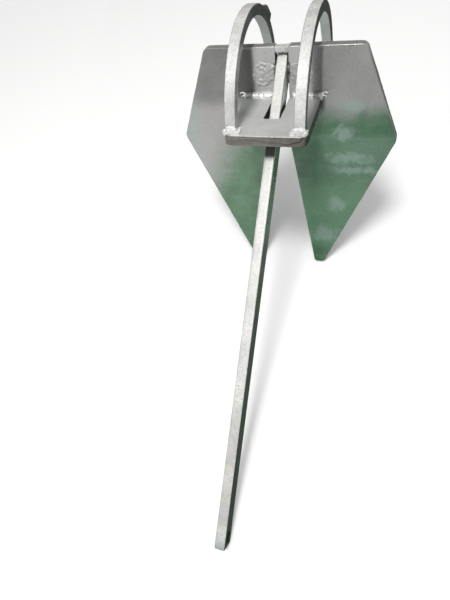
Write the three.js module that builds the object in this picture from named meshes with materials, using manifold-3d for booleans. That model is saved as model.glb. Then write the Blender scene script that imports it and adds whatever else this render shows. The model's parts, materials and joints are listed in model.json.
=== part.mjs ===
// Two-fluke stockless boat anchor, hot-dip galvanised, welded from 10 mm plate and bar.
// Millimetres, +Z up. Every piece is drawn in the fluke frame: X to the right, Y through the
// fluke plates (front face at y = 0), Z along the plates from the tips (z = 0) to the top edge.
// The shank hangs on a cross pin between the flukes and rests on the front crown plate.

import * as THREE from 'three';
import * as BufferGeometryUtils from 'three/addons/utils/BufferGeometryUtils.js';
import Module from 'manifold-3d';

const wasm = await Module();
wasm.setup();

// Stock and gaps
const PLATE = 10;
const BAR = 10;
const GAP = 0.3;
const MID_Y = PLATE / 2;

// Flukes
const FLUKE_HEIGHT = 252;
const FLUKE_TOP_HALF = 75.5;
const FLUKE_HALF = 111;
const FLUKE_WIDEST_Z = 164;
const TIP_OUTER_X = 44;
const TIP_INNER_X = 33;
const NOTCH_TOP_Z = 156.7;
const SLOT_HALF = 6.2;
const TOP_CORNER_R = 6;
const WIDE_CORNER_R = 9;
const TIP_R = 3;

// Crown plates
const CROWN_TOP_Z = 206.3;
const CROWN_HALF = 37.5;
const CROWN_DEPTH = 81;
const CROWN_CORNER_R = 7;
const CROWN_SLOT_HALF = 7.5;
const CROWN_SLOT_SHIFT = -1;
const CROWN_SLOT_R = 2.5;

// Hoops
const HOOP_X = 30.6;
const HOOP_R = 84;
const HOOP_CENTRE_Z = 200;
const HOOP_SEGMENTS = 24;

// Shank and its pin
const PIVOT_Z = 231;
const PIN_R = 5;
const PIN_LENGTH = 44;
const SHANK_LEAN = THREE.MathUtils.degToRad(47);
const SHANK_WIDTH = 20;
const SHANK_REACH = 457;
const SHANK_HEAD = 12;
const HEAD_CORNER_R = 4;
const END_CORNER_R = 1.5;
const EYE_R = 5;
const EYE_FROM_END = 10;
const ROUND_SEGMENTS = 32;
const CORNER_SEGMENTS = 3;

// Welds
const FILLET = 7;
const FILLET_FULLNESS = 0.6;
const CROWN_WELD_START = 9.5;
const CROWN_WELD_END = 41;
const PIN_WELD_WIDTH = 18;
const PIN_WELD_HEIGHT = 25;
const PIN_WELD_PROUD = 3.5;
const PIN_WELD_SLOPE = 1.2;
const PIN_WELD_X = 19;
const PIN_WELD_CORNER_R = 3;
const CAP_WELD_HEIGHT = 6;
const CAP_WELD_INSET = 0.5;
const CAP_WELD_CORNER_R = 1.5;
const FOOT_WELD_OUT = 1.6;
const FOOT_WELD_IN = 6;
const FOOT_WELD_HEIGHT = 6;
const FOOT_WELD_CORNER_R = 2;
const FOOT_LEAN = 0.8;

const STEEL = { roughness: 0.45, metalness: 0.85 };
const COLOURS = {
  fluke: 0x9aa39d,
  crown: 0xb2b5b2,
  hoop: 0xd6d8d6,
  shank: 0xc9cbc8,
  pin: 0x8f9492,
  weld: 0xc2c6c4,
};

// Axes for drawings made in the fluke frame: what the drawing's own x, y and depth become.
const AXES = {
  xz: [new THREE.Vector3(1, 0, 0), new THREE.Vector3(0, 0, 1), new THREE.Vector3(0, -1, 0)],
  xy: [new THREE.Vector3(1, 0, 0), new THREE.Vector3(0, 1, 0), new THREE.Vector3(0, 0, 1)],
  yz: [new THREE.Vector3(0, 1, 0), new THREE.Vector3(0, 0, 1), new THREE.Vector3(1, 0, 0)],
};

// A closed outline through corners [x, y, radius], going round once, with each corner rounded.
function roundedOutline(corners) {
  const shape = new THREE.Shape();
  corners.forEach(([x, y, radius = 0], i) => {
    const corner = new THREE.Vector2(x, y);
    const [px, py] = corners.at(i - 1);
    const [nx, ny] = corners[(i + 1) % corners.length];
    if (radius === 0) {
      addPoint(shape, corner, i === 0);
      return;
    }
    const back = new THREE.Vector2(px, py).sub(corner).normalize();
    const ahead = new THREE.Vector2(nx, ny).sub(corner).normalize();
    const half = Math.acos(back.dot(ahead)) / 2;
    const centre = back.clone().add(ahead).normalize().multiplyScalar(radius / Math.sin(half));
    centre.add(corner);
    const start = corner.clone().addScaledVector(back, radius / Math.tan(half)).sub(centre);
    const end = corner.clone().addScaledVector(ahead, radius / Math.tan(half)).sub(centre);
    addPoint(shape, centre.clone().add(start), i === 0);
    shape.absarc(centre.x, centre.y, radius, start.angle(), end.angle(), back.cross(ahead) > 0);
  });
  return shape;
}

function addPoint(shape, point, isFirst) {
  if (isFirst) {
    shape.moveTo(point.x, point.y);
  } else {
    shape.lineTo(point.x, point.y);
  }
}

function circleHole(x, y, radius) {
  return new THREE.Path().absarc(x, y, radius, 0, 2 * Math.PI, true);
}

// Extrudes a drawing and stands it in the fluke frame, starting at the given depth.
function extrude(shape, plane, start, depth, options = {}) {
  const geometry = new THREE.ExtrudeGeometry(shape, {
    depth,
    bevelEnabled: false,
    curveSegments: CORNER_SEGMENTS,
    ...options,
  });
  geometry.translate(0, 0, start);
  geometry.applyMatrix4(new THREE.Matrix4().makeBasis(...AXES[plane]));
  return geometry;
}

// A copy reflected left to right (x), or front to rear through the middle of the plates (y).
function mirrored(geometry, { x = false, y = false }) {
  const mirror = new THREE.Matrix4().makeTranslation(0, y ? PLATE : 0, 0);
  mirror.scale(new THREE.Vector3(x ? -1 : 1, y ? -1 : 1, 1));
  const copy = geometry.clone().applyMatrix4(mirror);
  if (x !== y) {
    flipFaces(copy);
  }
  return copy;
}

function flipFaces(geometry) {
  const merged = mergedCopy(geometry);
  const index = merged.getIndex();
  for (let i = 0; i < index.count; i += 3) {
    const first = index.getX(i);
    index.setX(i, index.getX(i + 1));
    index.setX(i + 1, first);
  }
  geometry.copy(merged);
}

function mergedCopy(geometry) {
  const bare = geometry.clone();
  bare.deleteAttribute('normal');
  bare.deleteAttribute('uv');
  return BufferGeometryUtils.mergeVertices(bare);
}

function toSolid(geometry) {
  const merged = mergedCopy(geometry);
  const vertProperties = new Float32Array(merged.getAttribute('position').array);
  const triVerts = new Uint32Array(merged.getIndex().array);
  return new wasm.Manifold(new wasm.Mesh({ numProp: 3, vertProperties, triVerts }));
}

function toGeometry(solid) {
  const mesh = solid.getMesh();
  const geometry = new THREE.BufferGeometry();
  geometry.setAttribute('position', new THREE.BufferAttribute(mesh.vertProperties, 3));
  geometry.setIndex(new THREE.BufferAttribute(mesh.triVerts, 1));
  return geometry;
}

function piece(name, geometry, colour) {
  geometry.computeVertexNormals();
  const material = new THREE.MeshStandardMaterial({ color: COLOURS[colour], ...STEEL });
  const mesh = new THREE.Mesh(geometry, material);
  mesh.name = name;
  return mesh;
}

// Right fluke: a five-sided plate with a notch in its slot edge for the pin.
function flukeGeometry() {
  const pinHalf = PIN_R + GAP;
  const pinEnd = PIN_LENGTH / 2 + GAP;
  const outline = roundedOutline([
    [SLOT_HALF, FLUKE_HEIGHT],
    [SLOT_HALF, PIVOT_Z + pinHalf],
    [pinEnd, PIVOT_Z + pinHalf],
    [pinEnd, PIVOT_Z - pinHalf],
    [SLOT_HALF, PIVOT_Z - pinHalf],
    [SLOT_HALF, NOTCH_TOP_Z],
    [TIP_INNER_X, 0, TIP_R],
    [TIP_OUTER_X, 0, TIP_R],
    [FLUKE_HALF, FLUKE_WIDEST_Z, WIDE_CORNER_R],
    [FLUKE_TOP_HALF, FLUKE_HEIGHT, TOP_CORNER_R],
  ]);
  return extrude(outline, 'xz', -PLATE, PLATE);
}

// Front crown plate: a U seen from above, its slot open towards the flukes.
function crownGeometry() {
  const slotEnd = shankStopY();
  const slotLeft = CROWN_SLOT_SHIFT - CROWN_SLOT_HALF;
  const slotRight = CROWN_SLOT_SHIFT + CROWN_SLOT_HALF;
  const outline = roundedOutline([
    [-CROWN_HALF, -GAP],
    [-CROWN_HALF, -CROWN_DEPTH, CROWN_CORNER_R],
    [CROWN_HALF, -CROWN_DEPTH, CROWN_CORNER_R],
    [CROWN_HALF, -GAP],
    [slotRight, -GAP],
    [slotRight, slotEnd, CROWN_SLOT_R],
    [slotLeft, slotEnd, CROWN_SLOT_R],
    [slotLeft, -GAP],
  ]);
  return extrude(outline, 'xy', CROWN_TOP_Z - PLATE, PLATE);
}

// Where the shank's front face meets the lower edge of the crown plate at its stop.
function shankStopY() {
  const drop = PIVOT_Z - CROWN_TOP_Z + PLATE;
  const reach = SHANK_WIDTH / 2 + GAP + drop * Math.sin(SHANK_LEAN);
  return MID_Y - reach / Math.cos(SHANK_LEAN);
}

// A half ring of square bar that stands on both crown plates.
function hoopGeometry(x) {
  const footZ = CROWN_TOP_Z + GAP - HOOP_CENTRE_Z;
  const inner = HOOP_R - BAR;
  const outerStart = Math.asin(footZ / HOOP_R);
  const innerStart = Math.asin(footZ / inner);
  const outline = new THREE.Shape();
  outline.absarc(MID_Y, HOOP_CENTRE_Z, HOOP_R, outerStart, Math.PI - outerStart, false);
  outline.absarc(MID_Y, HOOP_CENTRE_Z, inner, Math.PI - innerStart, innerStart, true);
  return extrude(outline, 'yz', x - BAR / 2, BAR, { curveSegments: HOOP_SEGMENTS });
}

// Flat bar drawn hanging straight down from the pin, with the pin hole at its own origin.
function shankGeometry() {
  const half = SHANK_WIDTH / 2;
  const outline = roundedOutline([
    [-half, -SHANK_REACH, END_CORNER_R],
    [half, -SHANK_REACH, END_CORNER_R],
    [half, SHANK_HEAD, HEAD_CORNER_R],
    [-half, SHANK_HEAD, HEAD_CORNER_R],
  ]);
  outline.holes.push(circleHole(0, 0, PIN_R + GAP));
  outline.holes.push(circleHole(0, -SHANK_REACH + EYE_FROM_END, EYE_R));
  return extrude(outline, 'yz', -BAR / 2, BAR, { curveSegments: ROUND_SEGMENTS / 2 });
}

function pinGeometry() {
  const geometry = new THREE.CylinderGeometry(PIN_R, PIN_R, PIN_LENGTH, ROUND_SEGMENTS);
  geometry.rotateZ(Math.PI / 2);
  geometry.translate(0, MID_Y, PIVOT_Z);
  return geometry;
}

// Fillet bead on the right half of the front crown plate, above it or under it.
function crownWeldGeometry(isTop) {
  const cornerZ = isTop ? CROWN_TOP_Z + GAP : CROWN_TOP_Z - PLATE - GAP;
  const up = isTop ? 1 : -1;
  const outline = roundedOutline([
    [-GAP, cornerZ],
    [-GAP, cornerZ + up * FILLET],
    [-GAP - FILLET * FILLET_FULLNESS, cornerZ + up * FILLET * FILLET_FULLNESS],
    [-GAP - FILLET, cornerZ],
  ]);
  return extrude(outline, 'yz', CROWN_WELD_START, CROWN_WELD_END - CROWN_WELD_START);
}

// Low mound of weld over one end of the pin, on the front of the right fluke.
function pinWeldGeometry() {
  const w = PIN_WELD_WIDTH / 2 - PIN_WELD_SLOPE;
  const h = PIN_WELD_HEIGHT / 2 - PIN_WELD_SLOPE;
  const outline = roundedOutline([
    [PIN_WELD_X - w, PIVOT_Z - h, PIN_WELD_CORNER_R],
    [PIN_WELD_X + w, PIVOT_Z - h, PIN_WELD_CORNER_R],
    [PIN_WELD_X + w, PIVOT_Z + h, PIN_WELD_CORNER_R],
    [PIN_WELD_X - w, PIVOT_Z + h, PIN_WELD_CORNER_R],
  ]);
  const slopes = {
    bevelEnabled: true,
    bevelThickness: PIN_WELD_SLOPE,
    bevelSize: PIN_WELD_SLOPE,
    bevelSegments: 2,
  };
  const flat = PIN_WELD_PROUD - 2 * PIN_WELD_SLOPE;
  return extrude(outline, 'xz', GAP + PIN_WELD_SLOPE, flat, slopes);
}

// Plug of weld that closes the top of the slot between the two flukes.
function capWeldGeometry() {
  const half = SLOT_HALF - GAP;
  const top = FLUKE_HEIGHT - CAP_WELD_INSET;
  const outline = roundedOutline([
    [-half, FLUKE_HEIGHT - CAP_WELD_HEIGHT],
    [half, FLUKE_HEIGHT - CAP_WELD_HEIGHT],
    [half, top, CAP_WELD_CORNER_R],
    [-half, top, CAP_WELD_CORNER_R],
  ]);
  return extrude(outline, 'xz', CAP_WELD_INSET - PLATE, PLATE - 2 * CAP_WELD_INSET);
}

// Collar of weld round the foot of the right hoop on the front crown plate.
function footWeldGeometry() {
  const left = HOOP_X - BAR / 2 - FOOT_WELD_IN;
  const right = HOOP_X + BAR / 2 + FOOT_WELD_OUT;
  const front = MID_Y - HOOP_R - FOOT_WELD_OUT;
  const back = MID_Y - HOOP_R + BAR + FOOT_WELD_IN;
  const outline = roundedOutline([
    [left, front, FOOT_WELD_CORNER_R],
    [right, front, FOOT_WELD_CORNER_R],
    [right, back, FOOT_WELD_CORNER_R],
    [left, back, FOOT_WELD_CORNER_R],
  ]);
  const collar = extrude(outline, 'xy', CROWN_TOP_Z + GAP, FOOT_WELD_HEIGHT);
  const footY = MID_Y - HOOP_R + BAR / 2;
  const foot = new THREE.BoxGeometry(BAR + 2 * GAP, BAR + 2 * FOOT_LEAN, BAR + PLATE);
  foot.translate(HOOP_X, footY + GAP, CROWN_TOP_Z);
  return toGeometry(toSolid(collar).subtract(toSolid(foot)));
}

// Adds a front right piece and its three mirror images.
function addQuartet(group, geometry, suffix, colour) {
  for (const front of [true, false]) {
    for (const right of [true, false]) {
      const name = `${front ? 'front' : 'rear'}_${right ? 'right' : 'left'}_${suffix}`;
      const copy = mirrored(geometry, { x: !right, y: !front });
      group.add(piece(name, copy, colour));
    }
  }
}

// The anchor stands on its two tips and the end of the shank: the turn about X that brings
// the rear edge of the tips level with the rounded lower corner of the shank's end.
function standingTilt() {
  const across = SHANK_WIDTH / 2 - END_CORNER_R;
  const along = SHANK_REACH - END_CORNER_R;
  const sin = Math.sin(SHANK_LEAN);
  const cos = Math.cos(SHANK_LEAN);
  const cornerY = MID_Y - along * sin + across * cos;
  const cornerZ = PIVOT_Z - along * cos - across * sin;
  const ahead = PLATE - cornerY;
  const span = Math.hypot(ahead, cornerZ);
  return Math.asin(END_CORNER_R / span) - Math.atan2(cornerZ, ahead);
}

function buildAnchor() {
  const anchor = new THREE.Group();
  const fluke = flukeGeometry();
  anchor.add(piece('right_fluke', fluke, 'fluke'));
  anchor.add(piece('left_fluke', mirrored(fluke, { x: true }), 'fluke'));
  const crown = crownGeometry();
  anchor.add(piece('front_crown_plate', crown, 'crown'));
  anchor.add(piece('rear_crown_plate', mirrored(crown, { y: true }), 'crown'));
  anchor.add(piece('right_hoop', hoopGeometry(HOOP_X), 'hoop'));
  anchor.add(piece('left_hoop', hoopGeometry(-HOOP_X), 'hoop'));
  anchor.add(piece('pivot_pin', pinGeometry(), 'pin'));
  addQuartet(anchor, crownWeldGeometry(true), 'crown_weld_top', 'weld');
  addQuartet(anchor, crownWeldGeometry(false), 'crown_weld_under', 'weld');
  addQuartet(anchor, pinWeldGeometry(), 'pin_weld', 'weld');
  addQuartet(anchor, footWeldGeometry(), 'hoop_foot_weld', 'weld');
  anchor.add(piece('slot_cap_weld', capWeldGeometry(), 'weld'));

  const swing = new THREE.Group();
  swing.position.set(0, MID_Y, PIVOT_Z);
  swing.rotation.x = -SHANK_LEAN;
  swing.add(piece('shank', shankGeometry(), 'shank'));
  anchor.add(swing);

  anchor.rotation.x = -standingTilt();
  const box = new THREE.Box3().setFromObject(anchor, true);
  const centre = box.getCenter(new THREE.Vector3());
  anchor.position.set(-centre.x, -centre.y, -box.min.z);
  return anchor;
}

const scene = new THREE.Group();
scene.add(buildAnchor());

export default scene;
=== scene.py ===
"""Looks of the two-fluke boat anchor: galvanised plates, hoops, shank, pin and welds.

Shapes are drawn in millimetres in the fluke frame: X to the right, Y through the flukes with
their front face at y = 0, Z along the flukes from the tips to the top edge. Each piece is then
scaled to metres and placed by the frame's own tilt and hinge.
"""

import json
import math
import random

import bpy
import bmesh
from mathutils import Matrix, Vector, noise
from mathutils.geometry import tessellate_polygon


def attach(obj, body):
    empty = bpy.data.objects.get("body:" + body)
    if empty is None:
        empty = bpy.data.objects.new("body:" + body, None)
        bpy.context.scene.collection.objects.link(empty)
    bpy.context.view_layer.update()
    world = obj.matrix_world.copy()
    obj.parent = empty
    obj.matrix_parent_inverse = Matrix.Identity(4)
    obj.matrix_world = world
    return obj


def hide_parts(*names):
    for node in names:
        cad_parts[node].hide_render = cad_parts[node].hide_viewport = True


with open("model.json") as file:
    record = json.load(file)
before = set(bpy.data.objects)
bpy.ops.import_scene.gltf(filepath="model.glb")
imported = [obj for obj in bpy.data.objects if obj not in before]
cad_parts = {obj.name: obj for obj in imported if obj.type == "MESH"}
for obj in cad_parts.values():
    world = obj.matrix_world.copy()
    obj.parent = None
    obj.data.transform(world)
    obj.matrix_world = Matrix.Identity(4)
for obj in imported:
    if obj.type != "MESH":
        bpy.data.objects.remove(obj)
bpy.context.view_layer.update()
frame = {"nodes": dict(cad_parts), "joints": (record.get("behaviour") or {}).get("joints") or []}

MM = 0.001

# Flukes
PLATE = 10
FLUKE_HEIGHT = 252
FLUKE_TOP_HALF = 75.5
FLUKE_HALF = 111
FLUKE_WIDEST_Z = 164
TIP_OUTER_X = 44
TIP_INNER_X = 33
NOTCH_TOP_Z = 156.7
SLOT_HALF = 6.2

# Crown plates
CROWN_TOP_Z = 206.3
CROWN_HALF = 37.5
CROWN_DEPTH = 81
CROWN_SLOT_HALF = 7.5
CROWN_SLOT_SHIFT = -1
CROWN_SLOT_END = -47.1

# Hoops
BAR = 10
HOOP_X = 30.6
HOOP_R = 84
HOOP_CENTRE_Z = 200

# Shank and pin
MID_Y = PLATE / 2
PIVOT_Z = 231
PIN_R = 5
PIN_HALF = 22
CLEARANCE = 0.3
SHANK_LEAN = math.radians(47)
SHANK_WIDTH = 20
SHANK_REACH = 457
SHANK_HEAD = 12
EYE_R = 5
EYE_FROM_END = 10

# Main camera: target and distance in metres in the anchor's frame, lens in millimetres
CAMERA_TARGET = Vector((-0.0262, -0.0365, 0.1239))
CAMERA_DISTANCE = 0.45
CAMERA_AZIMUTH = math.radians(32.82)
CAMERA_ELEVATION = math.radians(57.79)
CAMERA_ROLL = math.radians(-21.24)
CAMERA_LENS = 28.34
CAMERA_SENSOR = 36

FRONT_SIDE = Matrix.Identity(4)
REAR_SIDE = Matrix.Translation((0, PLATE, 0)) @ Matrix.Diagonal((1, -1, 1, 1))


# ---------------------------------------------------------------- placing

def plate_tilt():
    """Angle that the flukes lean back, from the widest face of a fluke."""
    faces = frame["nodes"]["right_fluke"].data.polygons
    widest = max((f for f in faces if f.normal.y < 0), key=lambda f: f.area)
    return math.atan2(widest.normal.z, -widest.normal.y)


def fluke_frame():
    """Matrix from the fluke frame, in metres, to the anchor's frame, which stands on the floor."""
    turn = Matrix.Rotation(-plate_tilt(), 4, "X")
    hinge = Vector(frame["joints"][0]["pos_m"])
    pivot = Vector((0, MID_Y, PIVOT_Z)) * MM
    return Matrix.Translation(hinge - turn @ pivot) @ turn


FLUKES = fluke_frame()
SHANK = FLUKES @ Matrix.Translation(Vector((0, MID_Y, PIVOT_Z)) * MM)
SHANK = SHANK @ Matrix.Rotation(-SHANK_LEAN, 4, "X")


def add_piece(name, bm, body, materials, replaced, place=FLUKES):
    """Turns a bmesh drawn in millimetres into a piece that stands for CAD nodes."""
    bmesh.ops.recalc_face_normals(bm, faces=bm.faces)
    bm.transform(place @ Matrix.Scale(MM, 4))
    mesh = bpy.data.meshes.new(name)
    bm.to_mesh(mesh)
    bm.free()
    mesh.polygons.foreach_set("use_smooth", [True] * len(mesh.polygons))
    for material in materials:
        mesh.materials.append(material)
    piece = bpy.data.objects.new(name, mesh)
    bpy.context.scene.collection.objects.link(piece)
    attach(piece, body)
    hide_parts(*replaced)


# ---------------------------------------------------------------- outlines

def rounded_path(corners, step):
    """Points round a closed outline through corners (x, y, radius), at most step apart."""
    arcs = []
    for i, (x, y, radius) in enumerate(corners):
        corner = Vector((x, y))
        back = (Vector(corners[i - 1][:2]) - corner).normalized()
        ahead = (Vector(corners[(i + 1) % len(corners)][:2]) - corner).normalized()
        arcs.append(corner_arc(corner, back, ahead, radius, step))
    points = []
    for arc, following in zip(arcs, arcs[1:] + arcs[:1]):
        points += arc
        gap = following[0] - arc[-1]
        parts = max(1, math.ceil(gap.length / step))
        points += [arc[-1] + gap * (k / parts) for k in range(1, parts)]
    return points


def corner_arc(corner, back, ahead, radius, step):
    """Points round one corner; back and ahead are the directions of its two sides."""
    if radius == 0:
        return [corner]
    half = back.angle(ahead) / 2
    centre = corner + (back + ahead).normalized() * (radius / math.sin(half))
    start = corner + back * (radius / math.tan(half)) - centre
    turn = math.copysign(math.pi - 2 * half, ahead.cross(back))
    parts = max(3, math.ceil(abs(turn) * radius / step))
    return [centre + Matrix.Rotation(turn * k / parts, 2) @ start for k in range(parts + 1)]


def circle_path(x, y, radius, step):
    """A hole, drawn clockwise so that the material stays on its left."""
    parts = math.ceil(2 * math.pi * radius / step)
    angles = [-2 * math.pi * k / parts for k in range(parts)]
    return [Vector((x + radius * math.cos(a), y + radius * math.sin(a))) for a in angles]


def inward_normals(points):
    """Mitred directions into the material, which lies on the left of the path."""
    normals = []
    for i, point in enumerate(points):
        before = (point - points[i - 1]).normalized()
        after = (points[(i + 1) % len(points)] - point).normalized()
        left_before = Vector((-before.y, before.x))
        left_after = Vector((-after.y, after.x))
        total = left_before + left_after
        normals.append(total / max(0.5, 1 + left_before.dot(left_after)))
    return normals


# ---------------------------------------------------------------- plates

# Rounded edge: flat ring kept inside it, and steps round its quarter circle
SUPPORT = 0.6
ARC_PARTS = 4

# Places of a plate's materials in its list
FACE = 0
WALL = 1
# Place of the nearly black painted shade on slot and hole walls and the crown plates' undersides
SLOT_WALL = 2

# Unevenness of a cut wall: the size of its waves and of its striations, and how much faster
# both change along the wall than through its depth
WAVE_SIZE = 11
WAVE_DEPTH = 0.4
STREAK_SIZE = 1.3
STREAK_DEPTH = 0.12


def edge_rings(thickness, radius, wall_rows):
    """(inset, depth) of each ring from the front face, round the edge, to the back face."""
    rings = [(radius + SUPPORT, 0)]
    for k in range(ARC_PARTS + 1):
        a = math.pi / 2 * k / ARC_PARTS
        rings.append((radius * (1 - math.sin(a)), radius * (1 - math.cos(a))))
    middle = thickness - 2 * radius
    rings += [(0, radius + middle * k / wall_rows) for k in range(1, wall_rows)]
    rings += [(inset, thickness - depth) for inset, depth in reversed(rings[: ARC_PARTS + 2])]
    return rings


def level(point, depth):
    return 0


def slab(
    loops, thickness, radius, wall_rows, roughness, grain, in_slot, relief=level, near_cap=FACE
):
    """A plate with rounded, slightly uneven edges, as a bmesh in (u, v, depth).

    loops: the outline and then any holes, each with the material on its left.
    radius, wall_rows: the edge's rounding, and how many rows of faces its flat part has.
    roughness: (wander, striation) of the cut edge in millimetres. grain: a seed.
    in_slot: whether the wall at an outline point belongs to a slot.
    relief: an extra bulge of the wall at an outline point and depth, in millimetres.
    near_cap: the material of the face at depth 0.
    """
    bm = bmesh.new()
    rings = edge_rings(thickness, radius, wall_rows)
    rounding = ARC_PARTS - 2
    caps = ([], [])
    for loop in loops:
        rows = ring_vertices(bm, loop, rings, roughness, grain, relief)
        kinds = [SLOT_WALL if in_slot(point) else WALL for point in loop]
        last = len(rows) - 2
        for k, (near, far) in enumerate(zip(rows, rows[1:])):
            join_rings(bm, near, far, kinds if rounding < k < last - rounding else None)
        caps[0].append(rows[0])
        caps[1].append(rows[-1])
    for cap in caps:
        flat = [vert for ring in cap for vert in ring]
        for triangle in tessellate_polygon([[v.co for v in ring] for ring in cap]):
            face = bm.faces.new([flat[i] for i in triangle])
            face.material_index = near_cap if cap is caps[0] else FACE
    return bm


def ring_vertices(bm, loop, rings, roughness, grain, relief):
    """One row of vertices per ring, moved in by its inset and out by the wall's unevenness."""
    wander, striation = roughness
    normals = inward_normals(loop)
    rows = []
    for inset, depth in rings:
        row = []
        for point, normal in zip(loop, normals):
            wave = Vector((point.x, point.y, depth * WAVE_DEPTH)) / WAVE_SIZE
            bulge = wander * noise.noise(wave + grain)
            streak = Vector((point.x, point.y, depth * STREAK_DEPTH)) / STREAK_SIZE
            bulge += striation * noise.noise(streak + grain)
            bulge += relief(point, depth)
            moved = point + normal * (inset - bulge)
            row.append(bm.verts.new((moved.x, moved.y, depth)))
        rows.append(row)
    return rows


def join_rings(bm, near, far, kinds=None):
    """A band of faces between two closed rows; kinds are their materials."""
    count = len(near)
    for i in range(count):
        j = (i + 1) % count
        face = bm.faces.new((near[i], near[j], far[j], far[i]))
        if kinds:
            face.material_index = kinds[i]


def axes(u, v, depth, origin=(0, 0, 0)):
    """Matrix that gives a drawing's u, v and depth their directions in the fluke frame."""
    turn = Matrix((u, v, depth)).transposed().to_4x4()
    return Matrix.Translation(origin) @ turn


def fluke(side):
    """side is 1 for the right fluke and -1 for the left."""
    gap = PIN_R + CLEARANCE
    end = PIN_HALF + CLEARANCE
    corners = [
        (SLOT_HALF, FLUKE_HEIGHT, 1.5),
        (SLOT_HALF, PIVOT_Z + gap, 0.6),
        (end, PIVOT_Z + gap, 0.6),
        (end, PIVOT_Z - gap, 0.6),
        (SLOT_HALF, PIVOT_Z - gap, 0.6),
        (SLOT_HALF, NOTCH_TOP_Z, 4),
        (TIP_INNER_X, 0, 3),
        (TIP_OUTER_X, 0, 3),
        (FLUKE_HALF, FLUKE_WIDEST_Z, 9),
        (FLUKE_TOP_HALF, FLUKE_HEIGHT, 6),
    ]
    outline = rounded_path(corners, 1.5)
    grain = Vector((3.1 * side, 0, 0))
    bm = slab([outline], PLATE, 0.9, 6, (0.22, 0.1), grain, in_fluke_slot)
    bm.transform(axes((side, 0, 0), (0, 0, 1), (0, 1, 0)))
    return bm


def in_fluke_slot(point):
    """Above the crown plates' underside; below it the slot's wall is plain edge."""
    return point.x < PIN_HALF + 2 and CROWN_TOP_Z - PLATE < point.y < FLUKE_HEIGHT - 2


def in_crown_slot(point):
    return abs(point.x - CROWN_SLOT_SHIFT) < CROWN_SLOT_HALF + 1 and point.y > CROWN_SLOT_END - 5


def smooth_step(value, low, high):
    t = min(1, max(0, (value - low) / (high - low)))
    return t * t * (3 - 2 * t)


# Lip that the torch left on the free edge of a crown plate: (across, height) of its line, its
# step, and the groove beside it
LIP_LINE = ((-38, 5.6), (-24, 6.2), (-9, 6.4), (6, 4.4), (21, 2.5), (30, 4.6), (36, 8.5), (60, 9))
LIP = 1.0
LIP_GROOVE = 0.9


def crown_lip(point, depth):
    """Extra bulge in millimetres of a crown plate's free edge."""
    if point.y > -CROWN_DEPTH + 9:
        return 0
    for (x0, h0), (x1, h1) in zip(LIP_LINE, LIP_LINE[1:]):
        if x0 <= point.x < x1:
            line = h0 + (h1 - h0) * smooth_step(point.x, x0, x1)
            step = smooth_step(depth, line - 0.7, line + 0.5) - 0.5
            groove = LIP_GROOVE * math.exp(-(((depth - line) / 0.7) ** 2))
            return (LIP * step - groove) * (0.35 + 0.65 * smooth_step(point.x, -34, -8))
    return 0


def crown_plate(side_matrix, grain):
    left = CROWN_SLOT_SHIFT - CROWN_SLOT_HALF
    right = CROWN_SLOT_SHIFT + CROWN_SLOT_HALF
    corners = [
        (-CROWN_HALF, 0, 0.4),
        (-CROWN_HALF, -CROWN_DEPTH, 7),
        (CROWN_HALF, -CROWN_DEPTH, 7),
        (CROWN_HALF, 0, 0.4),
        (right, 0, 0.4),
        (right, CROWN_SLOT_END, 2.5),
        (left, CROWN_SLOT_END, 2.5),
        (left, 0, 0.4),
    ]
    outline = rounded_path(corners, 0.8)
    seed = Vector((0, grain, 0))
    # The underside, at depth 0, gets the slot walls' painted shade.
    bm = slab([outline], PLATE, 1.1, 14, (0.4, 0.22), seed, in_crown_slot, crown_lip, SLOT_WALL)
    bm.transform(axes((1, 0, 0), (0, 1, 0), (0, 0, 1), (0, 0, CROWN_TOP_Z - PLATE)))
    bm.transform(side_matrix)
    return bm


def in_shank_hole(point):
    eye = Vector((0, -SHANK_REACH + EYE_FROM_END))
    return min(point.length, (point - eye).length) < EYE_R + 1


def shank():
    """Drawn hanging straight down from the pin, whose centre is the origin."""
    half = SHANK_WIDTH / 2
    corners = [
        (-half, -SHANK_REACH, 2),
        (half, -SHANK_REACH, 2),
        (half, SHANK_HEAD, 4),
        (-half, SHANK_HEAD, 4),
    ]
    pin_hole = circle_path(0, 0, PIN_R + CLEARANCE, 0.8)
    eye = circle_path(0, -SHANK_REACH + EYE_FROM_END, EYE_R, 0.8)
    loops = [rounded_path(corners, 2), pin_hole, eye]
    bm = slab(loops, BAR, 1.1, 4, (0.12, 0.03), Vector((0, 0, 5.7)), in_shank_hole)
    bm.transform(axes((0, 1, 0), (0, 0, 1), (1, 0, 0), (-BAR / 2, 0, 0)))
    return bm


# ---------------------------------------------------------------- bars

def square_section(side, radius, parts, flats):
    """A rounded square section, anticlockwise, with points along its flats too."""
    half = side / 2
    around = ((-half, -half), (half, -half), (half, half), (-half, half))
    corners = [(x, y, radius) for x, y in around]
    return rounded_path(corners, min(radius * math.pi / 2 / parts, side / flats))


# A frozen run of zinc on the outside of the left hoop, just behind its top: its height, how far
# it sags sideways per millimetre of height, and the angles in degrees, measured from the rear,
# where it starts, is full, is still full and ends
RUN_HEIGHT = 2.6
RUN_SPREAD = 0.7
RUN = (43, 45, 56, 66)

HOOP_STEPS = 150
FOOT_SINK = 0.8

# Places of a hoop's materials in its list
OUTER_STRIP = 0
SIDE_STRIP = 1
INNER_STRIP = 2


def strip_of(middle):
    """Which strip of the bar a piece of its section lies on."""
    if abs(middle.x) > abs(middle.y):
        return SIDE_STRIP
    return OUTER_STRIP if middle.y > 0 else INNER_STRIP


def zinc_run(angle, across):
    """Height of the run at an angle and at a distance across the bar, which it covers in part."""
    degrees = math.degrees(angle)
    start, full, still_full, end = RUN
    along = smooth_step(degrees, start, full) * (1 - smooth_step(degrees, still_full, end))
    edge = 2.2 * noise.noise(Vector((degrees / 3.5, 0, 0))) - 1.5
    return RUN_HEIGHT * along * smooth_step(across, edge - 1.2, edge + 1.8)


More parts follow.
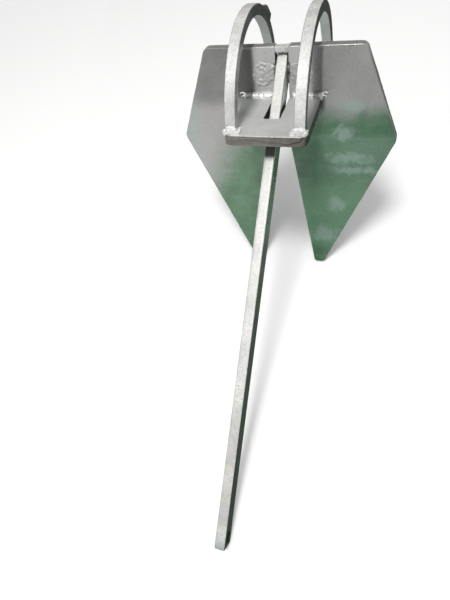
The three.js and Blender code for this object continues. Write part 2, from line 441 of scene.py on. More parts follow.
def hoop(x, grain):
    """A half ring of square bar, with the slight unevenness of bent, dipped bar."""
    section = square_section(BAR, 0.9, parts=3, flats=7)
    kinds = [strip_of((a + b) / 2) for a, b in zip(section, section[1:] + section[:1])]
    start = math.asin((CROWN_TOP_Z - FOOT_SINK - HOOP_CENTRE_Z) / (HOOP_R - BAR / 2))
    bm = bmesh.new()
    rows = []
    for k in range(HOOP_STEPS + 1):
        a = start + (math.pi - 2 * start) * k / HOOP_STEPS
        out = Vector((0, math.cos(a), math.sin(a)))
        row = []
        for point in section:
            rise = zinc_run(a, point.x) if x < 0 and point.y > 0 else 0
            radius = HOOP_R - BAR / 2 + point.y + rise
            across = x + point.x + (RUN_SPREAD * rise if point.x > 0 else 0)
            place = Vector((across, MID_Y, HOOP_CENTRE_Z)) + out * radius
            swell = 0.16 * noise.noise(place / 16 + Vector((grain, 0, 0)))
            swell += 0.05 * noise.noise(place / 2.5 + Vector((grain, 0, 0)))
            side = Vector((point.x, 0, 0)) + out * point.y
            row.append(bm.verts.new(place + side.normalized() * (swell - 0.1)))
        rows.append(row)
    for near, far in zip(rows, rows[1:]):
        join_rings(bm, near, far, kinds)
    bm.faces.new(rows[0])
    bm.faces.new(rows[-1])
    return bm


PIN_SIDES = 40
PIN_ROWS = 20


def pin():
    """Round bar along x with bevelled ends; rings holds (radius, distance from its left end)."""
    length = 2 * PIN_HALF
    bevel = [(PIN_R - 1, 0), (PIN_R - 0.3, 0.25), (PIN_R, 1)]
    rings = bevel + [(PIN_R, 1 + (length - 2) * k / PIN_ROWS) for k in range(1, PIN_ROWS)]
    rings += [(radius, length - along) for radius, along in reversed(bevel)]
    bm = bmesh.new()
    rows = []
    for radius, along in rings:
        row = []
        for k in range(PIN_SIDES):
            a = 2 * math.pi * k / PIN_SIDES
            y = MID_Y + radius * math.cos(a)
            z = PIVOT_Z + radius * math.sin(a)
            row.append(bm.verts.new((along - PIN_HALF, y, z)))
        rows.append(row)
    for near, far in zip(rows, rows[1:]):
        join_rings(bm, near, far)
    bm.faces.new(rows[0])
    bm.faces.new(rows[-1])
    return bm


# ---------------------------------------------------------------- welds

# Voxel of the melted skins, number of droplets beside a pin weld, and seed of all the welds
VOXEL = 0.42
SPATTER = 3
SEED = 20

# Skin of each kind of weld: smoothing passes, height of its lumps, size of its lumps
CROWN_SKIN = (5, 0.35, 3.2)
PATCH_SKIN = (8, 0.5, 3)
FOOT_SKIN = (3, 0.9, 2.1)
CAP_SKIN = (2, 0.4, 1.9)


def add_ball(bm, centre, size, turn=None):
    """A ball with its own size along each axis."""
    matrix = Matrix.Translation(centre)
    if turn is not None:
        matrix = matrix @ turn.to_matrix().to_4x4()
    matrix = matrix @ Matrix.Diagonal((*size, 1))
    bmesh.ops.create_icosphere(bm, subdivisions=2, radius=1, matrix=matrix)


def add_bead(bm, path, size, dice, pitch, wander=0.25, lean=0.5):
    """Overlapping frozen ripples along a path, each a flattened ball facing along it."""
    for start, end in zip(path, path[1:]):
        run = end - start
        count = max(1, round(run.length / pitch))
        for k in range(count):
            along = run.normalized() + Vector((0, 0, lean * dice.uniform(0.4, 1)))
            centre = start + run * (k / count)
            centre += Vector([dice.uniform(-wander, wander) for _ in range(3)])
            radius = size * dice.uniform(0.88, 1.1)
            ripple = (radius, radius, pitch * dice.uniform(0.85, 1.2))
            add_ball(bm, centre, ripple, along.to_track_quat("Z", "Y"))


def add_spatter(bm, side, dice):
    """Small flattened droplets on the face of a fluke, round the end of the pin."""
    for _ in range(SPATTER):
        radius = dice.uniform(0.4, 0.75)
        spot = Vector((side * dice.uniform(8, 27), 0, PIVOT_Z + dice.uniform(-20, 17)))
        add_ball(bm, spot, (radius, radius * 0.5, radius * dice.uniform(0.8, 1.2)))


def fuse(bm, grain, smooth, lumps, lump_size):
    """Melts overlapping balls into one skin and roughens it."""
    mesh = bpy.data.meshes.new("weld_work")
    bm.to_mesh(mesh)
    bm.free()
    work = bpy.data.objects.new("weld_work", mesh)
    bpy.context.scene.collection.objects.link(work)
    remesh = work.modifiers.new("fuse", "REMESH")
    remesh.mode = "VOXEL"
    remesh.voxel_size = VOXEL
    fused = bmesh.new()
    fused.from_object(work, bpy.context.evaluated_depsgraph_get())
    bpy.data.objects.remove(work)
    bpy.data.meshes.remove(mesh)
    axes_on = {"use_axis_x": True, "use_axis_y": True, "use_axis_z": True}
    for _ in range(smooth):
        bmesh.ops.smooth_vert(fused, verts=fused.verts, factor=0.5, **axes_on)
    fused.normal_update()
    for vert in fused.verts:
        lump = noise.noise(vert.co / lump_size + Vector((grain, 0, 0)))
        vert.co += vert.normal * lumps * lump
    return fused


def crown_weld(side, top, dice):
    """Fillet bead on one half of a crown plate, with thin tails at its outer end."""
    step = 1 if top else -1
    toe = CROWN_TOP_Z if top else CROWN_TOP_Z - PLATE
    edge = CROWN_HALF + 0.6
    inner = 11
    bm = bmesh.new()
    run = [Vector((side * inner, -1.2, toe + step)), Vector((side * edge, -1.0, toe + step))]
    add_bead(bm, run, 4.3, dice, pitch=1.3, wander=0.18)
    seam = [Vector((side * inner, -4.6, toe)), Vector((side * (edge - 2), -4.4, toe))]
    add_bead(bm, seam, 1.0, dice, pitch=1.2, wander=0.2)
    if top:
        tails = (
            [(edge, 3.2), (edge + 3, 4.6), (edge + 5.6, 2.9)],
            [(edge - 1, 0.4), (edge + 2.2, 1.6), (edge + 4.2, -0.6)],
        )
        for tail in tails:
            path = [Vector((side * x, -0.4, toe + rise)) for x, rise in tail]
            add_bead(bm, path, 0.9, dice, pitch=0.8, wander=0.1)
    return bm


# Upright runs of a pin weld (x, low, high), and its rings (radius, y) round their centre
UPRIGHTS = ((9.3, -8, 6.2), (12.6, -11, 7))
SWIRL = ((1.6, 1.0), (4.6, 0.9), (7.8, 1.2))
SWIRL_X = 19.5
SWIRL_DROP = 3.5
SWIRL_STRETCH = 1.25
SWIRL_PARTS = 14


def pin_weld(side, dice):
    """A flat swirl of weld laid over one end of the pin, on the front of a fluke."""
    bm = bmesh.new()
    for x, low, high in UPRIGHTS:
        path = [Vector((side * x, 1.3, PIVOT_Z + low)), Vector((side * x, 1.2, PIVOT_Z + high))]
        add_bead(bm, path, 2.5, dice, pitch=1.5, wander=0.3, lean=0)
    for radius, y in SWIRL:
        path = []
        for k in range(SWIRL_PARTS + 1):
            a = 2 * math.pi * k / SWIRL_PARTS
            x = SWIRL_X + radius * math.cos(a)
            z = radius * (SWIRL_STRETCH * math.sin(a)) - SWIRL_DROP
            path.append(Vector((side * x, y, PIVOT_Z + z)))
        add_bead(bm, path, 2.4, dice, pitch=1.5, wander=0.3, lean=0)
    return bm


# Lumps in front of a hoop's foot: (shift outwards, rise, width)
FOOT_LUMPS = ((-5.5, 1.2, 3.2), (-2.6, 2.6, 4.4), (1.2, 3, 4.6), (4.4, 2, 3.2))


def foot_weld(side, dice):
    """Weld round the foot of one hoop on a crown plate, heaviest in front and inside."""
    x = side * HOOP_X
    front = MID_Y - HOOP_R
    back = front + BAR
    z = CROWN_TOP_Z
    bm = bmesh.new()
    for shift, rise, width in FOOT_LUMPS:
        centre = Vector((x + side * shift, front + 0.4, z + rise))
        add_ball(bm, centre, (width, 2.4, width * dice.uniform(0.95, 1.15)))
    inner = x - side * (BAR / 2 + 0.6)
    outer = x + side * (BAR / 2 - 0.4)
    inside = [Vector((inner, front + 1.5, z + 0.6)), Vector((inner, back, z + 0.4))]
    behind = [Vector((inner, back + 0.2, z)), Vector((outer, back + 0.4, z))]
    outside = [Vector((outer, back - 1, z)), Vector((outer, front + 2, z + 0.4))]
    add_bead(bm, inside, 2.9, dice, 1.6)
    add_bead(bm, behind, 2.6, dice, 1.6)
    add_bead(bm, outside, 1.9, dice, 1.5)
    return bm


def cap_weld(dice):
    """Lumps that close the top of the slot between the flukes, nearly flush with them."""
    bm = bmesh.new()
    for y in (2.3, 4.2, 6, 7.8):
        for z in (2.4, 4.6):
            path = [Vector((-6.9, y, FLUKE_HEIGHT - z)), Vector((7, y, FLUKE_HEIGHT - z))]
            add_bead(bm, path, 2.0, dice, pitch=1.6, wander=0.35)
    return bm


# ---------------------------------------------------------------- materials

class Nodes:
    """Short ways to add and join shader nodes in one material."""

    def __init__(self, name):
        self.material = bpy.data.materials.new(name)
        self.material.use_nodes = True
        self.tree = self.material.node_tree
        self.shader = self.tree.nodes["Principled BSDF"]

    def add(self, kind, inputs=None, **settings):
        node = self.tree.nodes.new(kind)
        for key, value in settings.items():
            setattr(node, key, value)
        for key, value in (inputs or {}).items():
            self.set(node.inputs[key], value)
        return node

    def set(self, socket, value):
        if isinstance(value, bpy.types.NodeSocket):
            self.tree.links.new(value, socket)
        else:
            socket.default_value = value

    def place(self, frame_matrix):
        """Object coordinates turned into the given frame."""
        source = self.add("ShaderNodeTexCoord").outputs["Object"]
        inputs = {
            "Vector": source,
            "Location": frame_matrix.translation,
            "Rotation": frame_matrix.to_euler(),
        }
        return self.add("ShaderNodeMapping", inputs, vector_type="TEXTURE").outputs["Vector"]

    def stretch(self, vector, scale):
        return self.add("ShaderNodeMapping", {"Vector": vector, "Scale": scale}).outputs["Vector"]

    def noise(self, vector, scale, detail, rough, distortion=0.0):
        inputs = {
            "Vector": vector,
            "Scale": scale,
            "Detail": detail,
            "Roughness": rough,
            "Distortion": distortion,
        }
        return self.add("ShaderNodeTexNoise", inputs).outputs["Fac"]

    def ramp(self, value, low, high, out_low=0.0, out_high=1.0):
        """Smooth step of a value from low to high."""
        inputs = {
            "Value": value,
            "From Min": low,
            "From Max": high,
            "To Min": out_low,
            "To Max": out_high,
        }
        settings = {"interpolation_type": "SMOOTHSTEP"}
        return self.add("ShaderNodeMapRange", inputs, **settings).outputs["Result"]

    def math(self, operation, a, b=0.0):
        return self.add("ShaderNodeMath", {0: a, 1: b}, operation=operation).outputs[0]

    def centred(self, value, gain):
        """A noise value moved to swing round zero."""
        return self.math("MULTIPLY", self.math("SUBTRACT", value, 0.5), gain)

    def mix(self, factor, a, b):
        node = self.add("ShaderNodeMix", data_type="RGBA")
        self.set(node.inputs["Factor"], factor)
        self.set(node.inputs["A"], a)
        self.set(node.inputs["B"], b)
        return node.outputs["Result"]

    def bump(self, height, strength, distance, normal=None):
        inputs = {"Height": height, "Strength": strength, "Distance": distance}
        if normal is not None:
            inputs["Normal"] = normal
        return self.add("ShaderNodeBump", inputs).outputs["Normal"]


def tint(red, green, blue):
    return (red, green, blue, 1)


# Colour of painted shade, and how far in metres the ends of a strip of it fade
SHADE = tint(0.07, 0.075, 0.07)
SHADE_BLUR = 0.003


class Zinc(Nodes):
    """Hot-dip zinc: soft clouds, faint spangle, fine grain and duller patches.

    dark, bright: the colours that it runs between. peel: the strength of its bumps.
    where: the frame, FLUKES or SHANK, in which at, x, y and z are given in metres.
    """

    def __init__(self, name, dark, bright, rough, metallic, peel=0.25, where=FLUKES):
        super().__init__(name)
        self.at = self.place(where)
        clouds = self.noise(self.at, 28, 5, 0.6, 0.4)
        mottle = self.noise(self.at, 210, 4, 0.6)
        cells = self.add("ShaderNodeTexVoronoi", {"Vector": self.at, "Scale": 160.0})
        parts = self.add("ShaderNodeSeparateColor", {"Color": cells.outputs["Color"]})
        spangle = parts.outputs["Red"]
        tone = self.math("ADD", self.ramp(clouds, 0.3, 0.72), self.centred(mottle, 0.8))
        tone = self.math("ADD", tone, self.centred(spangle, 0.1))
        self.colour = self.mix(tone, dark, bright)
        self.set(self.shader.inputs["Metallic"], metallic)
        dull = self.math("ADD", clouds, self.centred(mottle, 0.6))
        roughness = self.ramp(dull, 0.3, 0.7, rough - 0.05, rough + 0.1)
        self.set(self.shader.inputs["Roughness"], roughness)
        fine = self.noise(self.at, 1700, 3, 0.6)
        ripple = self.noise(self.at, 240, 2, 0.4)
        self.normal = self.bump(fine, peel, 0.00010, self.bump(ripple, peel, 0.0003))
        split = self.add("ShaderNodeSeparateXYZ", {"Vector": self.at})
        self.x, self.y, self.z = split.outputs

    def veil(self, factor, colour):
        self.colour = self.mix(factor, self.colour, colour)

    def all_of(self, *factors):
        """Product of factors."""
        total = factors[0]
        for factor in factors[1:]:
            total = self.math("MULTIPLY", total, factor)
        return total

    def shade(self, across, heights, amount):
        """A strip of painted shade: across is (none, full, still full, gone) in x, heights its ends.
        """
        none, full, still_full, gone = across
        low, high = heights
        edges = (self.ramp(self.x, none, full), self.ramp(self.x, gone, still_full))
        bottom = self.ramp(self.z, low - SHADE_BLUR, low + SHADE_BLUR)
        top = self.ramp(self.z, high, high - SHADE_BLUR)
        self.veil(self.all_of(*edges, bottom, top, amount), SHADE)

    def finish(self):
        self.set(self.shader.inputs["Base Color"], self.colour)
        self.set(self.shader.inputs["Normal"], self.normal)
        return self.material


# Metallic of a fluke's zinc and of its part with the painted green reflection, and the heights in
# metres where that painted reflection is gone and full, just under the crown plates
FLUKE_METALLIC = 0.35
GREEN_REFLECTION_METALLIC = 0.2
GREEN_REFLECTION_TOP = (0.206, 0.196)

# Pale smears on the right fluke: (x, z, half length, half height) in metres
SMEARS = (
    (0.067, 0.143, 0.024, 0.007),
    (0.074, 0.129, 0.024, 0.005),
    (0.060, 0.170, 0.013, 0.009),
    (0.068, 0.198, 0.016, 0.006),
    (0.047, 0.042, 0.017, 0.013),
    (0.057, 0.086, 0.011, 0.010),
)


class FlukeFace(Zinc):
    """Zinc of a fluke's face, with a painted reflection of green ground on its lower part."""

    def __init__(self, name, dark, bright):
        super().__init__(name, tint(*dark), tint(*bright), 0.26, FLUKE_METALLIC, 0.1)
        self.sway = self.noise(self.stretch(self.at, (1, 1, 0.6)), 26, 4, 0.65, 0.6)

    def height(self, slope, sway):
        """Height along the fluke, tipped with x and made ragged."""
        tipped = self.math("ADD", self.z, self.math("MULTIPLY", self.x, slope))
        return self.math("ADD", tipped, self.centred(self.sway, -sway))

    def green_reflection(self, start, end, slope, green, pale):
        """Painted green reflection from height start, full at end, with paler streaks; none by the
        crown.
        """
        low = self.ramp(self.height(slope, 0.04), start, end, 0.0, 0.97)
        low = self.math("MULTIPLY", low, self.ramp(self.z, *GREEN_REFLECTION_TOP))
        deep = tint(*(part * 0.7 for part in green))
        patches = self.ramp(self.noise(self.at, 34, 4, 0.6), 0.32, 0.68)
        reflected_green = self.mix(patches, deep, tint(*green))
        streaks = self.noise(self.stretch(self.at, (0.7, 1, 1.6)), 48, 5, 0.65, 0.7)
        reflected_green = self.mix(self.ramp(streaks, 0.47, 0.75, 0.0, 0.5), reflected_green, tint(*pale))
        self.veil(low, reflected_green)
        self.set(self.shader.inputs["Metallic"], self.ramp(low, 0, 1, FLUKE_METALLIC, GREEN_REFLECTION_METALLIC))

    def smear(self, x, z, length, height, colour):
        """A ragged pale patch."""
        inputs = {"Vector": self.at, "Location": (x, 0, z), "Scale": (length, 1, height)}
        at = self.add("ShaderNodeMapping", inputs, vector_type="TEXTURE").outputs["Vector"]
        away = self.add("ShaderNodeVectorMath", {0: at}, operation="LENGTH").outputs["Value"]
        ragged = self.math("ADD", away, self.centred(self.noise(self.at, 85, 5, 0.75, 0.5), 3.2))
        self.veil(self.ramp(ragged, 1.2, 0.3, 0.0, 0.6), colour)


# Painted shadows of the hoops, in strips behind them on the flukes, on the flukes' top edge and
# on the crown welds, and painted shade under the welds' outer ends: their edges in x (none, full,
# still full, gone) and their lower and upper ends, in metres
LEFT_SHADE = (-0.052, -0.048, -0.032, -0.0250)
RIGHT_SHADE = (0.0270, 0.0365, 0.0365, 0.0388)
SHADE_HEIGHTS = (0.2065, 0.2520)
LEFT_EDGE_SHADE = (-0.050, -0.045, -0.0285, -0.0260)
RIGHT_EDGE_SHADE = (0.0270, 0.0285, 0.0345, 0.0370)
EDGE_HEIGHTS = (0.2500, 0.2600)
WELD_SHADE = (0.0290, 0.0305, 0.0360, 0.0375)
WELD_HEIGHTS = (0.1980, 0.2200)
UNDER_END_SHADE = (0.0330, 0.0355, 0.0460, 0.0480)
UNDER_END_HEIGHTS = (0.1850, 0.1990)


def left_face():
    """Paler below the crown plate, outwards and between the hoops; darkest green at the tip."""
    n = FlukeFace("zinc_left_fluke", (0.19, 0.19, 0.185), (0.25, 0.25, 0.245))
    below_crown = n.ramp(n.height(0, 0.012), 0.209, 0.190)
    n.veil(below_crown, tint(0.37, 0.365, 0.355))
    outwards = n.ramp(n.x, -0.078, -0.100, 0.0, 0.5)
    n.veil(outwards, tint(0.36, 0.41, 0.40))
    between_hoops = n.ramp(n.x, -0.030, -0.026)
    n.veil(between_hoops, tint(0.50, 0.50, 0.49))
    # Painted reflection of green ground on the lower part, darkest green at the tip.
    n.green_reflection(0.290, 0.195, -1.6, (0.112, 0.225, 0.132), (0.21, 0.29, 0.245))
    tip = n.ramp(n.z, 0.085, 0.040, 0.0, 0.6)
    n.veil(tip, tint(0.07, 0.16, 0.095))
    # Painted shadow of the left hoop on the fluke.
    n.shade(LEFT_SHADE, SHADE_HEIGHTS, 0.85)
    return n.finish()


def right_face():
    """Greener below the crown plate than the left one, with smears; painted shade beside the crown.
    """
    n = FlukeFace("zinc_right_fluke", (0.26, 0.26, 0.255), (0.32, 0.32, 0.315))
    between_hoops = n.ramp(n.x, 0.030, 0.026)
    n.veil(between_hoops, tint(0.48, 0.48, 0.47))
    # Painted reflection of green ground, with more of it outwards and above the tip.
    n.green_reflection(0.203, 0.168, -0.05, (0.062, 0.160, 0.085), (0.16, 0.26, 0.195))
    outwards = n.all_of(n.ramp(n.x, 0.030, 0.062, 0.0, 0.5), n.ramp(n.z, 0.175, 0.150))
    n.veil(outwards, tint(0.15, 0.25, 0.18))
    above_tip = n.all_of(n.ramp(n.z, 0.125, 0.095, 0.0, 0.5), n.ramp(n.z, 0.012, 0.035))
    n.veil(above_tip, tint(0.15, 0.29, 0.185))
    for smear in SMEARS:
        n.smear(*smear, tint(0.27, 0.36, 0.32))
    # Painted shadow of the right hoop on the fluke.
    n.shade(RIGHT_SHADE, SHADE_HEIGHTS, 0.72)
    # Painted shade on the fluke beside the crown plate's right side.
    beside = n.ramp(n.x, 0.0425, 0.0385, 0.0, 0.8)
    at_crown = n.all_of(n.ramp(n.z, 0.186, 0.198), n.ramp(n.z, 0.207, 0.203))
    n.veil(n.all_of(beside, at_crown), SHADE)
    return n.finish()


def fluke_edge():
    """Zinc of the flukes' cut edges, with painted shadows of the hoops on them."""
    n = Zinc("zinc_fluke_edge", tint(0.34, 0.34, 0.33), tint(0.5, 0.5, 0.49), 0.35, 0.8)
    n.shade(LEFT_EDGE_SHADE, EDGE_HEIGHTS, 0.9)
    n.shade(RIGHT_EDGE_SHADE, EDGE_HEIGHTS, 0.75)
    return n.finish()


def weld_beads():
    """Bright zinc of the crown welds, with painted shade beside the hoops and under their outer ends.
    """
    n = Zinc("zinc_weld", tint(0.56, 0.56, 0.55), tint(0.80, 0.80, 0.78), 0.4, 0.5, 0.15)
    for edges, heights in ((WELD_SHADE, WELD_HEIGHTS), (UNDER_END_SHADE, UNDER_END_HEIGHTS)):
        n.shade(edges, heights, 0.75)
        n.shade([-edge for edge in reversed(edges)], heights, 0.75)
    return n.finish()


def speckled(name, where):
    """Bright zinc with faint scaly mottling and pinkish specks, as on drawn bar."""
    n = Zinc(name, tint(0.45, 0.45, 0.435), tint(0.66, 0.66, 0.645), 0.48, 0.2, 0.45, where)
    scales = n.add("ShaderNodeTexVoronoi", {"Vector": n.stretch(n.at, (1, 1, 0.7)), "Scale": 420.0})
    pits = n.ramp(scales.outputs["Distance"], 0.0, 0.35, 0.75, 0.0)
    patchy = n.ramp(n.noise(n.at, 11, 4, 0.6), 0.45, 0.62)
    n.veil(n.math("MULTIPLY", pits, patchy), tint(0.42, 0.36, 0.33))
    warm = n.ramp(n.noise(n.at, 120, 3, 0.6), 0.5, 0.62, 0.0, 0.6)
    n.veil(n.math("MULTIPLY", warm, patchy), tint(0.60, 0.575, 0.44))
    n.veil(n.ramp(n.noise(n.at, 620, 3, 0.7), 0.47, 0.68, 0.0, 0.7), tint(0.36, 0.35, 0.34))
    return n


def brown_run(n):
    """Browns whatever stands out past the hoops' own outer face."""
    y = n.math("SUBTRACT", n.y, MID_Y * MM)
    z = n.math("SUBTRACT", n.z, HOOP_CENTRE_Z * MM)
    spoke = n.add("ShaderNodeCombineXYZ", {"X": 0.0, "Y": y, "Z": z}).outputs["Vector"]
    radius = n.add("ShaderNodeVectorMath", {0: spoke}, operation="LENGTH").outputs["Value"]
    n.veil(n.ramp(radius, (HOOP_R + 0.3) * MM, (HOOP_R + 1.3) * MM), tint(0.06, 0.045, 0.038))
    return n.finish()


def shank_face():
    """The shank's bright faces, with a painted shadow of the front crown plate where it falls at
    rest.
    """
    n = speckled("zinc_shank", SHANK)
    # Painted shadow of the front crown plate, fixed to the shank where it falls at rest.
    crown_shadow = n.all_of(n.ramp(n.z, -0.089, -0.086), n.ramp(n.z, -0.072, -0.076), 0.85)
    n.veil(crown_shadow, SHADE)
    eye_end = n.ramp(n.z, -0.440, -0.457, 0.0, 0.6)
    n.veil(eye_end, tint(0.20, 0.25, 0.235))
    return n.finish()


def shank_side():
    """Zinc tinted as painted reflection: pale near the hinge, dull green towards the eye."""
    n = Zinc("zinc_shank_side", tint(0.29, 0.37, 0.30), tint(0.46, 0.55, 0.47), 0.3, 1.0, 0.2, SHANK)
    n.veil(n.ramp(n.z, -0.280, -0.180, 0.0, 0.65), tint(0.80, 0.85, 0.80))
    n.veil(n.ramp(n.z, -0.270, -0.430, 0.0, 0.75), tint(0.08, 0.16, 0.09))
    return n.finish()


def bar_side():
    """The hoops' narrow sides, with painted shade: darker than the outer strip, darkest on the
    outside.
    """
    n = Zinc("zinc_bar_side", tint(0.32, 0.32, 0.31), tint(0.50, 0.50, 0.48), 0.3, 1.0, 0.2)
    # More painted shade on the sides that face outwards.
    n.veil(n.ramp(n.math("ABSOLUTE", n.x), 0.0335, 0.0350, 0.0, 0.7), tint(0.13, 0.135, 0.125))
    return brown_run(n)


def crown_face():
    """Smooth, light zinc, with painted shadows of the hoops beside them."""
    n = Zinc("zinc_crown_face", tint(0.43, 0.435, 0.425), tint(0.545, 0.545, 0.535), 0.55, 0.22, 0.06)
    # Painted shadow of the left hoop.
    by_left_hoop = n.all_of(n.ramp(n.x, -0.017, -0.028, 0.0, 0.5), n.ramp(n.y, -0.060, -0.035))
    n.veil(by_left_hoop, tint(0.17, 0.19, 0.18))
    # Painted shade by and past the right hoop.
    past_right_hoop = n.ramp(n.x, 0.031, 0.036, 0.0, 0.8)
    n.veil(past_right_hoop, tint(0.10, 0.115, 0.10))
    return n.finish()


def crown_edge():
    """Browner, torch-cut zinc, with painted shade on the sides that face along x."""
    n = Zinc("zinc_crown_edge", tint(0.15, 0.14, 0.125), tint(0.30, 0.285, 0.26), 0.4, 1.0, 0.4)
    n.veil(n.ramp(n.math("ABSOLUTE", n.x), 0.0355, 0.0372, 0.0, 0.7), tint(0.065, 0.07, 0.062))
    return n.finish()


def plain_zinc(*looks):
    return Zinc(*looks).finish()


MAT_FLUKES = {"left": left_face(), "right": right_face()}
MAT_FLUKE_EDGE = fluke_edge()
# Painted shade: nearly black zinc for slot and hole walls and the crown plates' undersides.
MAT_PAINTED_SHADE = plain_zinc(
    "painted_shade_zinc", tint(0.012, 0.013, 0.012), tint(0.05, 0.05, 0.045), 0.55, 0.4
)
MAT_CROWN = crown_face()
MAT_CROWN_EDGE = crown_edge()
MAT_HOOP = brown_run(speckled("zinc_hoop", FLUKES))
MAT_SHANK = shank_face()
MAT_BAR_SIDE = bar_side()
# Painted light: the hoops' inner strip is lighter and greener than their outer strip, for the light
# bounced onto it.
MAT_BAR_INNER = plain_zinc(
    "zinc_bar_inner", tint(0.74, 0.79, 0.76), tint(0.90, 0.93, 0.91), 0.4, 0.2, 0.2
)
MAT_SHANK_SIDE = shank_side()
# Painted shade: the pin is dark for the shade in the narrow gaps beside the shank, where it shows.
MAT_PIN = plain_zinc("zinc_pin", tint(0.14, 0.14, 0.135), tint(0.26, 0.26, 0.25), 0.6, 0.6)
MAT_WELD = weld_beads()
MAT_FOOT = plain_zinc(
    "zinc_foot_weld", tint(0.56, 0.56, 0.55), tint(0.80, 0.80, 0.78), 0.45, 0.2, 0.6
)
MAT_PATCH = plain_zinc(
    "zinc_weld_patch", tint(0.38, 0.38, 0.37), tint(0.54, 0.54, 0.53), 0.6, 0.15, 0.2
)


# ---------------------------------------------------------------- the anchor

def build_steel():
    """Every steel piece; skins are the materials in the order of their places in its list."""
    for side, name in ((1, "right"), (-1, "left")):
        bm = fluke(side)
        skins = [MAT_FLUKES[name], MAT_FLUKE_EDGE, MAT_PAINTED_SHADE]
        add_piece(f"{name}_fluke_plate", bm, "flukes", skins, [f"{name}_fluke"])
        bm = hoop(side * HOOP_X, 4.3 * side)
        skins = [MAT_HOOP, MAT_BAR_SIDE, MAT_BAR_INNER]
        add_piece(f"{name}_hoop_bar", bm, "flukes", skins, [f"{name}_hoop"])
    skins = [MAT_CROWN, MAT_CROWN_EDGE, MAT_PAINTED_SHADE]
    for name, matrix, grain in (("front", FRONT_SIDE, 1.7), ("rear", REAR_SIDE, 8.9)):
        bm = crown_plate(matrix, grain)
        add_piece(f"{name}_crown", bm, "flukes", skins, [f"{name}_crown_plate"])
    add_piece("cross_pin", pin(), "flukes", [MAT_PIN], ["pivot_pin"])
    skins = [MAT_SHANK_SIDE, MAT_SHANK, MAT_PAINTED_SHADE]
    add_piece("shank_bar", shank(), "shank", skins, ["shank"], SHANK)


def add_weld(node, bm, matrix, material, skin_shape, spatter=None):
    """Fuses one weld, adds spatter (side, dice) if it has any, and makes its piece."""
    skin = fuse(bm, len(node) * 1.3, *skin_shape)
    if spatter:
        add_spatter(skin, *spatter)
    skin.transform(matrix)
    add_piece(f"{node}_bead", skin, "flukes", [material], [node])


def build_welds():
    """Every weld, in a fixed order, because they all draw from the same dice."""
    dice = random.Random(SEED)
    for end, matrix in (("front", FRONT_SIDE), ("rear", REAR_SIDE)):
        for hand, side in (("right", 1), ("left", -1)):
            name = f"{end}_{hand}"
            for top, kind in ((True, "crown_weld_top"), (False, "crown_weld_under")):
                fillet = crown_weld(side, top, dice)
                add_weld(f"{name}_{kind}", fillet, matrix, MAT_WELD, CROWN_SKIN)
            patch = pin_weld(side, dice)
            add_weld(f"{name}_pin_weld", patch, matrix, MAT_PATCH, PATCH_SKIN, (side, dice))
            foot = foot_weld(side, dice)
            add_weld(f"{name}_hoop_foot_weld", foot, matrix, MAT_FOOT, FOOT_SKIN)
    add_weld("slot_cap_weld", cap_weld(dice), FRONT_SIDE, MAT_PATCH, CAP_SKIN)


# ---------------------------------------------------------------- stage

# Floor, backdrop and world: sizes in metres, brightness as seen by the camera
FLOOR_SIZE = 40
FLOOR_FADE = (0.7, 2.0)
BACKDROP = 0.93
CARD_HEIGHT = 0.0004
CARD_GLOW = tint(0.055, 0.072, 0.058)


def add_floor():
    """A pale floor that fades into the backdrop far from the anchor."""
    bpy.ops.mesh.primitive_plane_add(size=FLOOR_SIZE)
    floor = bpy.context.object
    floor.name = "floor"
    n = Nodes("floor_paint")
    n.set(n.shader.inputs["Base Color"], tint(0.97, 0.97, 0.965))
    n.set(n.shader.inputs["Roughness"], 0.85)
    place = n.add("ShaderNodeTexCoord").outputs["Object"]
    away = n.add("ShaderNodeVectorMath", {0: place}, operation="LENGTH").outputs["Value"]
    seen = n.add("ShaderNodeLightPath").outputs["Is Camera Ray"]
    glow = n.add("ShaderNodeEmission", {"Color": tint(BACKDROP, BACKDROP, BACKDROP)})
    both = n.add("ShaderNodeMixShader", {0: n.math("MULTIPLY", seen, n.ramp(away, *FLOOR_FADE))})
    n.set(both.inputs[1], n.shader.outputs[0])
    n.set(both.inputs[2], glow.outputs[0])
    n.set(n.tree.nodes["Material Output"].inputs["Surface"], both.outputs[0])
    floor.data.materials.append(n.material)


def add_dark_card():
    """A dark card on the floor that only the gloss of the metal picks up, clear of the shank."""
    corners = [(-0.012, -0.42), (0.5, -0.42), (0.9, 1), (-0.6, 1)]
    corners += [(-0.35, 0.14), (-0.06, 0.1), (-0.06, -0.05), (-0.012, -0.05)]
    mesh = bpy.data.meshes.new("dark_card")
    mesh.from_pydata([(x, y, CARD_HEIGHT) for x, y in corners], [], [range(len(corners))])
    n = Nodes("dark_card")
    n.set(n.shader.inputs["Base Color"], tint(0.0, 0.0, 0.0))
    n.set(n.shader.inputs["Emission Color"], CARD_GLOW)
    n.set(n.shader.inputs["Emission Strength"], 1.0)
    mesh.materials.append(n.material)
    card = bpy.data.objects.new("dark_card", mesh)
    bpy.context.scene.collection.objects.link(card)
    card.visible_camera = False
    card.visible_diffuse = False
    card.visible_shadow = False


# Key light, above and in front of the anchor: metres and watts
KEY_PLACE = Vector((0, -0.45, 1.75))
KEY_TARGET = Vector((0, 0.1, 0.15))
KEY_SIZE = 0.4
KEY_POWER = 20


def add_key():
    light = bpy.data.lights.new("key", "AREA")
    light.shape = "DISK"
    light.size = KEY_SIZE
    light.energy = KEY_POWER
    lamp = bpy.data.objects.new("key", light)
    lamp.location = KEY_PLACE
    lamp.rotation_euler = (KEY_TARGET - KEY_PLACE).to_track_quat("-Z", "Y").to_euler()
    bpy.context.scene.collection.objects.link(lamp)


# The world's brightness against how nearly a direction lies along SKY_AXIS: (place, value)
SKY_AXIS = (0, -0.25, 0.97)
SKY = ((0.1, 0.28), (0.5, 0.5), (0.75, 0.85), (0.92, 1.1))
SKY_STRENGTH = 0.8


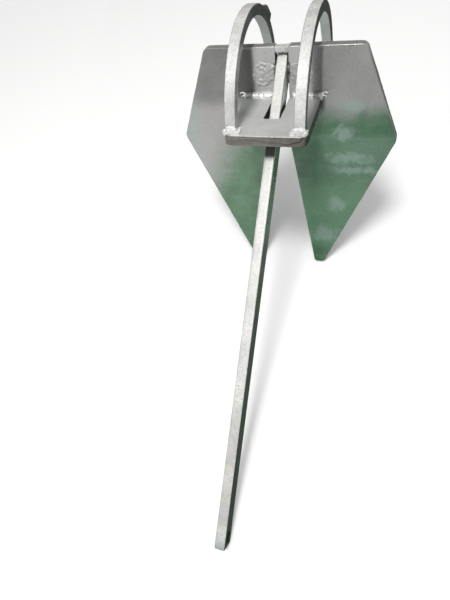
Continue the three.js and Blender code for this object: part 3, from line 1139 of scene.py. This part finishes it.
def add_world():
    """Bright overhead and a little in front, darker all round; the camera sees the backdrop."""
    world = bpy.data.worlds.new("studio")
    bpy.context.scene.world = world
    world.use_nodes = True
    tree = world.node_tree
    coords = tree.nodes.new("ShaderNodeTexCoord")
    along = tree.nodes.new("ShaderNodeVectorMath")
    along.operation = "DOT_PRODUCT"
    along.inputs[1].default_value = SKY_AXIS
    ramp = tree.nodes.new("ShaderNodeValToRGB")
    while len(ramp.color_ramp.elements) < len(SKY):
        ramp.color_ramp.elements.new(1)
    for element, (position, value) in zip(ramp.color_ramp.elements, SKY):
        element.position = position
        element.color = (value, value, value, 1)
    light = tree.nodes["Background"]
    tree.links.new(coords.outputs["Generated"], along.inputs[0])
    tree.links.new(along.outputs["Value"], ramp.inputs["Fac"])
    tree.links.new(ramp.outputs["Color"], light.inputs["Color"])
    light.inputs["Strength"].default_value = SKY_STRENGTH
    backdrop = tree.nodes.new("ShaderNodeBackground")
    backdrop.inputs["Color"].default_value = tint(BACKDROP, BACKDROP, BACKDROP)
    seen = tree.nodes.new("ShaderNodeLightPath").outputs["Is Camera Ray"]
    both = tree.nodes.new("ShaderNodeMixShader")
    for source, socket in ((seen, 0), (light.outputs[0], 1), (backdrop.outputs[0], 2)):
        tree.links.new(source, both.inputs[socket])
    tree.links.new(both.outputs[0], tree.nodes["World Output"].inputs["Surface"])


def add_camera():
    a = CAMERA_AZIMUTH
    e = CAMERA_ELEVATION
    back = Vector((math.sin(a) * math.cos(e), -math.cos(a) * math.cos(e), math.sin(e)))
    data = bpy.data.cameras.new("camera")
    data.lens = CAMERA_LENS
    data.sensor_width = CAMERA_SENSOR
    camera = bpy.data.objects.new("camera", data)
    camera.location = CAMERA_TARGET + back * CAMERA_DISTANCE
    upright = (-back).to_track_quat("-Z", "Y")
    camera.rotation_mode = "QUATERNION"
    camera.rotation_quaternion = Matrix.Rotation(CAMERA_ROLL, 3, back).to_quaternion() @ upright
    bpy.context.scene.collection.objects.link(camera)
    bpy.context.scene.camera = camera


add_camera()
build_steel()
build_welds()
add_floor()
add_dark_card()
add_world()
add_key()
bpy.context.scene.view_settings.view_transform = "Standard"
